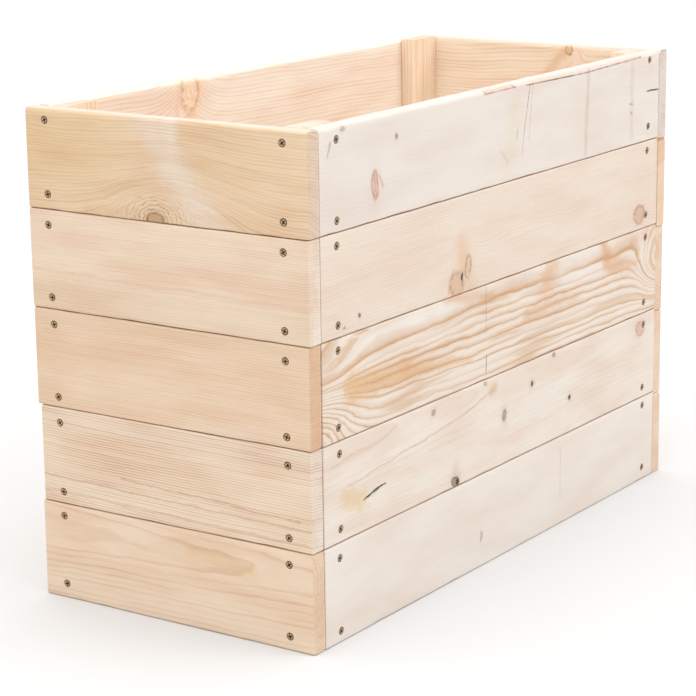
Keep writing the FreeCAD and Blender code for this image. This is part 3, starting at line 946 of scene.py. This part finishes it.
def slit_cutter(place, slit):
    """A leaf-shaped wedge, widest in the middle of the slit and narrow at its bottom."""
    shape = bmesh.new()
    start, stop = Vector(slit.start), Vector(slit.stop)
    way = stop - start
    aside = Vector((-way.y, way.x)).normalized()
    steps = 14
    rims = []
    for w, share in ((-1.0, 1.0), (slit.depth, 0.25)):
        near, far = [], []
        for step in range(steps + 1):
            t = step / steps
            jag = noise.noise(Vector((step * 1.7, slit.start[0], 0.0))) * 0.3
            half = slit.width / 2 * share * max(0.06, math.sin(math.pi * t) + jag * (0 < t < 1))
            middle = start + way * t + aside * (slit.bow * math.sin(math.pi * t))
            near.append(shape.verts.new(place.outward(*(middle - aside * half), w)))
            far.append(shape.verts.new(place.outward(*(middle + aside * half), w)))
        rims.append(near + far[::-1])
    top, bottom = rims
    shape.faces.new(top)
    shape.faces.new(bottom[::-1])
    for one, two, three, four in zip(top, top[1:] + top[:1], bottom[1:] + bottom[:1], bottom):
        shape.faces.new((two, one, four, three))
    bmesh.ops.recalc_face_normals(shape, faces=shape.faces)
    bmesh.ops.triangulate(shape, faces=shape.faces)
    mesh = bpy.data.meshes.new("slit_cutter")
    shape.to_mesh(mesh)
    shape.free()
    return link("slit_cutter", mesh)


def open_slits(piece, place, slits):
    """Cuts the slits out of the piece's mesh."""
    cutters = [slit_cutter(place, slit) for slit in slits]
    for cutter in cutters:
        cut = piece.modifiers.new(cutter.name, "BOOLEAN")
        cut.operation = "DIFFERENCE"
        cut.solver = "EXACT"
        cut.object = cutter
    graph = bpy.context.evaluated_depsgraph_get()
    piece.data = bpy.data.meshes.new_from_object(piece.evaluated_get(graph))
    piece.modifiers.clear()
    for cutter in cutters:
        bpy.data.objects.remove(cutter)


def wear(piece, place, seed, crest):
    """Wears the long edges unevenly, and nibbles the sawn ends.

    Crest is how much more the upper edges lose, in millimetres."""
    shape = bmesh.new()
    shape.from_mesh(piece.data)
    spots = [place.inward(vert.co) for vert in shape.verts]
    lows = [min(spot[axis] for spot in spots) for axis in range(3)]
    highs = [max(spot[axis] for spot in spots) for axis in range(3)]
    cuts = [(Vector(place.u), place.outward(lows[0] + STATION * n, 0, 0))
            for n in range(1, int((highs[0] - lows[0]) / STATION))]
    for axis, way in ((1, place.v), (2, place.w)):
        for level in (lows[axis] + LOOP, highs[axis] - LOOP):
            point = [0, 0, 0]
            point[axis] = level
            cuts.append((Vector(way), place.outward(*point)))
    for way, point in cuts:
        everything = shape.verts[:] + shape.edges[:] + shape.faces[:]
        bmesh.ops.bisect_plane(shape, geom=everything, dist=1e-6, plane_co=point, plane_no=way)
    for vert in shape.verts:
        u, v, w = place.inward(vert.co)
        moved = [u, v, w]
        from_sides = []
        for axis, level in ((1, v), (2, w)):
            from_low, from_high = level - lows[axis], highs[axis] - level
            from_sides.append((min(from_low, from_high), 1 if from_low < from_high else -1))
        (gap_v, way_v), (gap_w, way_w) = from_sides
        slow = noise.noise(Vector((u / SLOW_WEAR, seed + way_v * 3.1, way_w * 2.3)))
        quick = noise.noise(Vector((u / QUICK_WEAR, seed + way_v * 7.7, way_w * 5.9)))
        edge_v = math.exp(-((gap_v / EDGE_REACH) ** 2))
        edge_w = math.exp(-((gap_w / EDGE_REACH) ** 2))
        rubbed = 0.03 + 0.24 * slow
        moved[1] += way_v * edge_v * max(0.0, rubbed)
        corner = edge_v * edge_w
        if crest and way_v < 0:
            rounder = crest * corner * (1 + 0.5 * slow)
            moved[1] -= rounder
            moved[2] += way_w * rounder
        moved[1] += way_v * corner * max(0.0, quick) * 0.9
        moved[2] += way_w * corner * max(0.0, quick + 0.3 * slow) * 0.8
        from_end = min(u - lows[0], highs[0] - u)
        if from_end < END_REACH:
            end_way = 1 if u - lows[0] < highs[0] - u else -1
            nibble = noise.noise(Vector((seed, v / 6, w / 3)))
            moved[0] += end_way * max(0.0, nibble) * 0.5 * (1 + 2 * corner)
        vert.co = place.outward(*moved)
    shape.to_mesh(piece.data)
    shape.free()


def smooth_but_for_edges(mesh):
    """Smooth shading, broken only at real edges."""
    for attribute in [item for item in mesh.attributes if item.name == "custom_normal"]:
        mesh.attributes.remove(attribute)
    mesh.shade_smooth()
    mesh.set_sharp_from_angle(angle=GENTLE)


def timber_piece(node, number):
    """A board, batten or slat of worn timber, in place of the plain one of the model."""
    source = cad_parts[node]
    place = place_of(node)
    timber = timber_of(node, number)
    piece = link(f"timber_{node}", source.data.copy())
    piece.data.transform(source.matrix_world)
    weld(piece.data)
    if timber.slits:
        open_slits(piece, place, timber.slits)
    wear(piece, place, 3.0 + 1.9 * number, CREST if in_top_row(node) else 0.0)
    smooth_but_for_edges(piece.data)
    piece.data.materials.clear()
    piece.data.materials.append(pine(f"pine_{node}", place, timber))
    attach(piece, "root")
    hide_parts(node)


# ------------------------------------------------------------------------------------
# Screws
# ------------------------------------------------------------------------------------

HEAD = 4.0
QUADRANT = (0.0, 14.04, 22.0, 32.0, 45.0, 58.0, 68.0, 75.96)
ARM_HALF, ARM_REACH = 0.6, 2.4


def cross_reach(angle):
    """How far the recess goes from the middle of the head in a direction."""
    along, across = abs(math.cos(angle)), abs(math.sin(angle))
    one = min(ARM_REACH / max(along, 1e-6), ARM_HALF / max(across, 1e-6))
    two = min(ARM_REACH / max(across, 1e-6), ARM_HALF / max(along, 1e-6))
    return max(one, two)


def screw_rings(length):
    """(reach of the cross or None, radius, depth below the face, grimy) down the screw; the last
    marks the rings whose faces take the painted shade, dark in the recess and round the rim of the
    head.
    """
    rings = [
        (0.35, 0, 1.9, True),
        (0.8, 0, 1.6, True),
        (1.0, 0, 0.12, True),
        (None, 2.7, 0.0, False),
        (None, 3.1, 0.02, False),
        (None, 3.6, 0.16, True),
        (None, HEAD - 0.04, 0.3, True),
        (None, HEAD - 0.12, 0.5, True),
        (None, 2.05, 2.5, False),
        (None, 1.95, 4.0, False),
    ]
    depth = 5.0
    while depth < length - 3.0:
        rings += [(None, 1.9, depth, False), (None, 1.35, depth + 0.7, False)]
        depth += 1.8
    rings.append((None, 0.15, length - 0.2, False))
    return rings


def screw_group(node, metal, grime_and_shade):
    """Countersunk screws with crossed recesses, one for each that the model has.

    The first material is the bare metal, the second painted shade, dark in the recesses and round
    the rim of each head."""
    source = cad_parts[node]
    shape = bmesh.new()
    shape.from_mesh(source.data)
    shape.transform(source.matrix_world)
    bmesh.ops.remove_doubles(shape, verts=shape.verts, dist=1e-6)
    heads = screw_axes(shape)
    shape.free()
    pick = random.Random(node)
    angles = [math.radians(turn + 90 * side) for side in range(4) for turn in QUADRANT]
    built = bmesh.new()
    for head, inward, length in heads:
        turn = pick.uniform(0, math.tau)
        lean = Vector([pick.uniform(-0.02, 0.02) for _ in range(3)])
        axis = (inward + lean).normalized()
        right = axis.orthogonal().normalized()
        up = axis.cross(right)
        previous = None
        centre = built.verts.new(head + axis * 2.0 * MM)
        for cross, radius, depth, painted_shade in screw_rings(length):
            ring = []
            for angle in angles:
                reach = radius if cross is None else cross * cross_reach(angle)
                around = angle + turn
                flat = right * math.cos(around) + up * math.sin(around)
                ring.append(built.verts.new(head + (flat * reach + axis * depth) * MM))
            pairs = list(zip(ring, ring[1:] + ring[:1]))
            if previous is None:
                for one, two in pairs:
                    built.faces.new((centre, one, two)).material_index = 1
            else:
                for (one, two), (four, three) in zip(pairs, previous):
                    face = built.faces.new((four, one, two, three))
                    # The recess and the rim of the head take the second material, painted shade.
                    face.material_index = 1 if painted_shade else 0
            previous = pairs
        built.faces.new([one for one, _ in previous][::-1])
    bmesh.ops.recalc_face_normals(built, faces=built.faces)
    mesh = bpy.data.meshes.new(f"detailed_{node}")
    built.to_mesh(mesh)
    built.free()
    piece = link(f"detailed_{node}", mesh)
    mesh.materials.append(metal)
    mesh.materials.append(grime_and_shade)
    smooth_but_for_edges(mesh)
    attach(piece, "root")
    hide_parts(node)


def screw_axes(shape):
    """(middle of the head, way it points, length in mm) of each screw in a mesh."""
    found = []
    waiting = set(shape.verts)
    while waiting:
        loose = [waiting.pop()]
        for vert in loose:
            for edge in vert.link_edges:
                other = edge.other_vert(vert)
                if other in waiting:
                    waiting.remove(other)
                    loose.append(other)
        spots = [vert.co for vert in loose]
        low = Vector([min(spot[axis] for spot in spots) for axis in range(3)])
        high = Vector([max(spot[axis] for spot in spots) for axis in range(3)])
        size = high - low
        along = max(range(3), key=lambda axis: size[axis])
        middle = (low + high) / 2
        wide = []
        for level in (low[along], high[along]):
            near = [spot.copy() for spot in spots if abs(spot[along] - level) < 0.6 * MM]
            for spot in near:
                spot[along] = middle[along]
            wide.append(max((spot - middle).length for spot in near))
        at_low = wide[0] > wide[1]
        head = middle.copy()
        head[along] = low[along] if at_low else high[along]
        inward = Vector((0, 0, 0))
        inward[along] = 1 if at_low else -1
        found.append((head, inward, size[along] / MM))
    return sorted(found, key=lambda item: tuple(round(part, 4) for part in item[0]))


def zinc(name, bright, dull, roughness):
    """Yellow zinc, rubbed dull, with dirt in it.

    Given dark colours, it is also the painted shade in the recesses and round the rim of each head.
    """
    graph = Graph(name)
    where = graph.add("ShaderNodeTexCoord").outputs["Object"]
    scaled = graph.add("ShaderNodeVectorMath", ((0, where), ("Scale", 900.0)), operation="SCALE")
    # Noise: dull dirt on the bare metal, and unevenness in the painted shade of the dark material.
    grime_and_shade = Field(graph, graph.cloud(scaled.outputs[0], 3.0, 0.6).outputs[0])
    colour = graph.blend(graph.rise(grime_and_shade, 0.4, 0.7), bright, dull)
    bump = graph.add(
        "ShaderNodeBump", (("Strength", 0.4), ("Distance", 0.00004), ("Height", grime_and_shade))
    )
    return graph.surface(colour, grime_and_shade * 0.35 + roughness, bump.outputs[0], metallic=0.9)


timber_nodes = [name for name in sorted(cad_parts) if not name.startswith("screws")]
for number, name in enumerate(timber_nodes):
    timber_piece(name, number)
metal = zinc("screw_zinc", linear(196, 172, 136), linear(140, 112, 80), 0.25)
# Painted shade: the dark brown of the cross recesses and of the ring round each head, where shade
# falls.
grime_and_shade = zinc("recess_painted_shade", linear(88, 64, 44), linear(52, 38, 28), 0.5)
for name in sorted(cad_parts):
    if name.startswith("screws"):
        screw_group(name, metal, grime_and_shade)


# ------------------------------------------------------------------------------------
# Floor, light and camera
# ------------------------------------------------------------------------------------

# Azimuth, elevation and roll in degrees, then the way from the box's middle: out, right, up.
CAMERA_ANGLES = (-55.76, 13.94, 0.74)
CAMERA_PLACE = (2.5129, -0.0267, -0.0445)
CAMERA_LENS = 122.77
HORIZON, ZENITH = 0.55, 2.2
LIGHT_AIM = (0, 0, 0.25)


def studio_floor():
    mesh = bpy.data.meshes.new("studio_floor")
    reach = 30.0
    corners = [(-reach, -reach, 0), (reach, -reach, 0), (reach, reach, 0), (-reach, reach, 0)]
    mesh.from_pydata(corners, [], [(0, 1, 2, 3)])
    item = link("studio_floor", mesh)
    item.location.z = -0.0002
    mesh.materials.append(Graph("studio_floor").surface((0.6, 0.6, 0.6), 0.9, specular=0.1))


def soft_light(name, spot, aim, across, watts):
    lamp = bpy.data.lights.new(name, "AREA")
    lamp.shape = "SQUARE"
    lamp.size = across
    lamp.energy = watts
    item = link(name, lamp)
    item.location = spot
    item.rotation_euler = (Vector(aim) - Vector(spot)).to_track_quat("-Z", "Y").to_euler()


def camera():
    """Looks at the near left corner from a little above, with a slight roll."""
    azimuth, elevation, roll = (math.radians(angle) for angle in CAMERA_ANGLES)
    low, high = CAD_BOX
    middle = (Vector(low) + Vector(high)) / 2
    back = Vector(
        (
            math.sin(azimuth) * math.cos(elevation),
            -math.cos(azimuth) * math.cos(elevation),
            math.sin(elevation),
        )
    )
    right = (-back).cross(Vector((0, 0, 1))).normalized()
    up = back.cross(right)
    turned_right = right * math.cos(roll) - up * math.sin(roll)
    turned_up = up * math.cos(roll) + right * math.sin(roll)
    far, aside, above = CAMERA_PLACE
    spot = middle + back * far + turned_right * aside + turned_up * above
    lens = bpy.data.cameras.new("camera")
    lens.lens = CAMERA_LENS
    lens.sensor_width = 36.0
    lens.clip_end = 100.0
    item = link("camera", lens)
    turn = Matrix((turned_right, turned_up, back)).transposed()
    item.matrix_world = Matrix.Translation(spot) @ turn.to_4x4()
    bpy.context.scene.camera = item


def surroundings():
    """A white sky, brighter overhead."""
    world = bpy.data.worlds.new("studio")
    bpy.context.scene.world = world
    world.use_nodes = True
    tree = world.node_tree
    background = tree.nodes["Background"]
    background.inputs[0].default_value = (1.0, 1.0, 1.0, 1)
    texture = tree.nodes.new("ShaderNodeTexCoord")
    parts = tree.nodes.new("ShaderNodeSeparateXYZ")
    tree.links.new(texture.outputs["Generated"], parts.inputs[0])
    climb = tree.nodes.new("ShaderNodeMapRange")
    climb.inputs["To Min"].default_value = HORIZON
    climb.inputs["To Max"].default_value = ZENITH
    tree.links.new(parts.outputs[2], climb.inputs["Value"])
    tree.links.new(climb.outputs[0], background.inputs[1])


studio_floor()
surroundings()
soft_light("key", (1.0, -3.2, 2.3), LIGHT_AIM, 2.0, 34.0)
soft_light("fill", (-3.2, -0.4, 2.3), LIGHT_AIM, 2.0, 26.0)
camera()
bpy.context.scene.view_settings.view_transform = "Standard"
